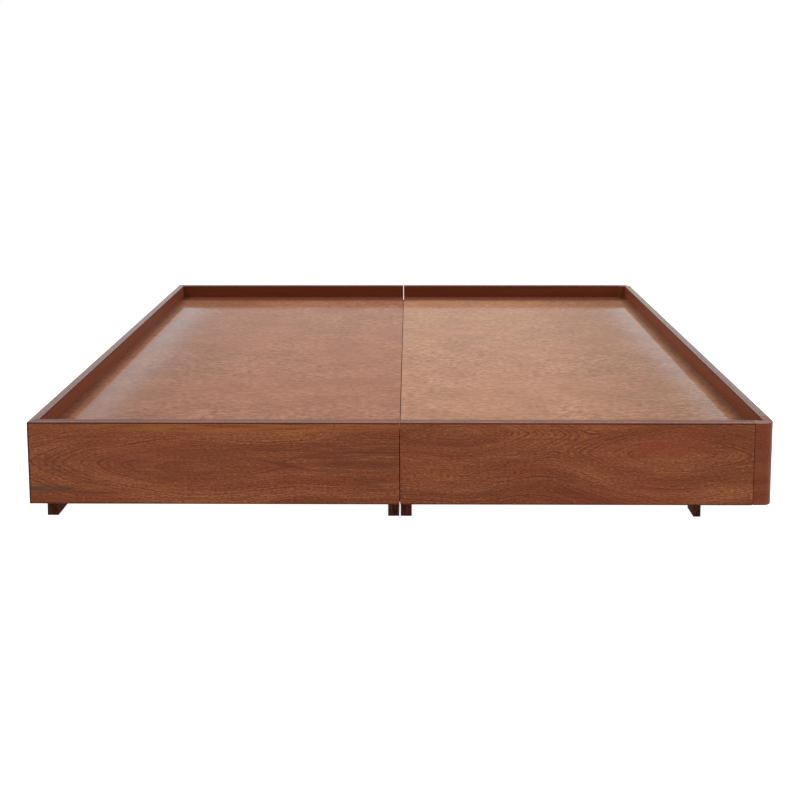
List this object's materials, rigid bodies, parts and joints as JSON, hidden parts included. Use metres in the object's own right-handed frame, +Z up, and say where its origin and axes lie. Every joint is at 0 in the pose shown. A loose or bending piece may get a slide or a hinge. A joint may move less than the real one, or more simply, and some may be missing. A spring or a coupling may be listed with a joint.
{
  "type": "platform bed base with storage drawers",
  "caption": "Low platform bed base in two joined modules, with a raised lip round the deck that holds a mattress and full-height drawer fronts on its long sides.",
  "frame": {"origin": "on the floor under the middle of the bed", "axes": "+X along the bed from head to foot, +Y from the near long side to the far one, +Z up"},
  "size_m": [2.035, 1.635, 0.28],
  "materials": {
    "walnut": "satin lacquered walnut veneer",
    "deck_veneer": "semi-gloss fine-grained veneer",
    "dark_wood": "dark stained, matt",
    "carcass_wood": "plain sealed plywood",
    "drawer_wood": "clear sealed birch plywood",
    "slide_steel": "zinc plated",
    "fastener_steel": "zinc plated",
    "felt": "dense black felt"
  },
  "bodies": {
    "carcass": {"head_end_board": "walnut", "foot_end_board": "walnut", "post_near": "walnut", "post_far": "walnut", "deck_head": "deck_veneer", "deck_foot": "deck_veneer", "lip_near_head": "walnut", "lip_far_head": "walnut", "lip_near_foot": "walnut", "lip_far_foot": "walnut", "lip_head_end": "walnut", "lip_foot_end": "walnut", "panel_head_outer": "carcass_wood", "panel_head_inner": "carcass_wood", "panel_foot_inner": "carcass_wood", "panel_foot_outer": "carcass_wood", "spine_head": "carcass_wood", "spine_foot": "carcass_wood", "bottom_rails_head": "carcass_wood", "bottom_rails_foot": "carcass_wood", "cross_rails": "carcass_wood", "feet_wide": "dark_wood", "feet_narrow": "dark_wood", "connector_bolts": "fastener_steel", "connector_nuts": "fastener_steel", "joint_strips": "felt", "foot_bolts": "fastener_steel", "tracks_near_head": "slide_steel", "tracks_far_head": "slide_steel", "tracks_near_foot": "slide_steel", "tracks_far_foot": "slide_steel"},
    "drawer_near_head": {"front_near_head": "walnut", "left_side_near_head": "drawer_wood", "right_side_near_head": "drawer_wood", "back_near_head": "drawer_wood", "bottom_near_head": "drawer_wood", "runners_near_head": "slide_steel"},
    "slide_near_head": {"slides_near_head": "slide_steel"},
    "drawer_far_head": {"front_far_head": "walnut", "left_side_far_head": "drawer_wood", "right_side_far_head": "drawer_wood", "back_far_head": "drawer_wood", "bottom_far_head": "drawer_wood", "runners_far_head": "slide_steel"},
    "slide_far_head": {"slides_far_head": "slide_steel"},
    "drawer_near_foot": {"front_near_foot": "walnut", "left_side_near_foot": "drawer_wood", "right_side_near_foot": "drawer_wood", "back_near_foot": "drawer_wood", "bottom_near_foot": "drawer_wood", "runners_near_foot": "slide_steel"},
    "slide_near_foot": {"slides_near_foot": "slide_steel"},
    "drawer_far_foot": {"front_far_foot": "walnut", "left_side_far_foot": "drawer_wood", "right_side_far_foot": "drawer_wood", "back_far_foot": "drawer_wood", "bottom_far_foot": "drawer_wood", "runners_far_foot": "slide_steel"},
    "slide_far_foot": {"slides_far_foot": "slide_steel"}
  },
  "joints": [
    {"name": "near_head_drawer", "type": "slide", "parent": "carcass", "child": "drawer_near_head", "axis": [0, -1, 0], "range_m": [0, 0.55]},
    {"name": "near_head_slide", "type": "slide", "parent": "carcass", "child": "slide_near_head", "axis": [0, -1, 0], "range_m": [0, 0.275]},
    {"name": "far_head_drawer", "type": "slide", "parent": "carcass", "child": "drawer_far_head", "axis": [0, 1, 0], "range_m": [0, 0.55]},
    {"name": "far_head_slide", "type": "slide", "parent": "carcass", "child": "slide_far_head", "axis": [0, 1, 0], "range_m": [0, 0.275]},
    {"name": "near_foot_drawer", "type": "slide", "parent": "carcass", "child": "drawer_near_foot", "axis": [0, -1, 0], "range_m": [0, 0.55]},
    {"name": "near_foot_slide", "type": "slide", "parent": "carcass", "child": "slide_near_foot", "axis": [0, -1, 0], "range_m": [0, 0.275]},
    {"name": "far_foot_drawer", "type": "slide", "parent": "carcass", "child": "drawer_far_foot", "axis": [0, 1, 0], "range_m": [0, 0.55]},
    {"name": "far_foot_slide", "type": "slide", "parent": "carcass", "child": "slide_far_foot", "axis": [0, 1, 0], "range_m": [0, 0.275]}
  ],
  "couplings": [
    {"joint": "near_head_slide", "follows": "near_head_drawer", "ratio": 0.5},
    {"joint": "far_head_slide", "follows": "far_head_drawer", "ratio": 0.5},
    {"joint": "near_foot_slide", "follows": "near_foot_drawer", "ratio": 0.5},
    {"joint": "far_foot_slide", "follows": "far_foot_drawer", "ratio": 0.5}
  ]
}
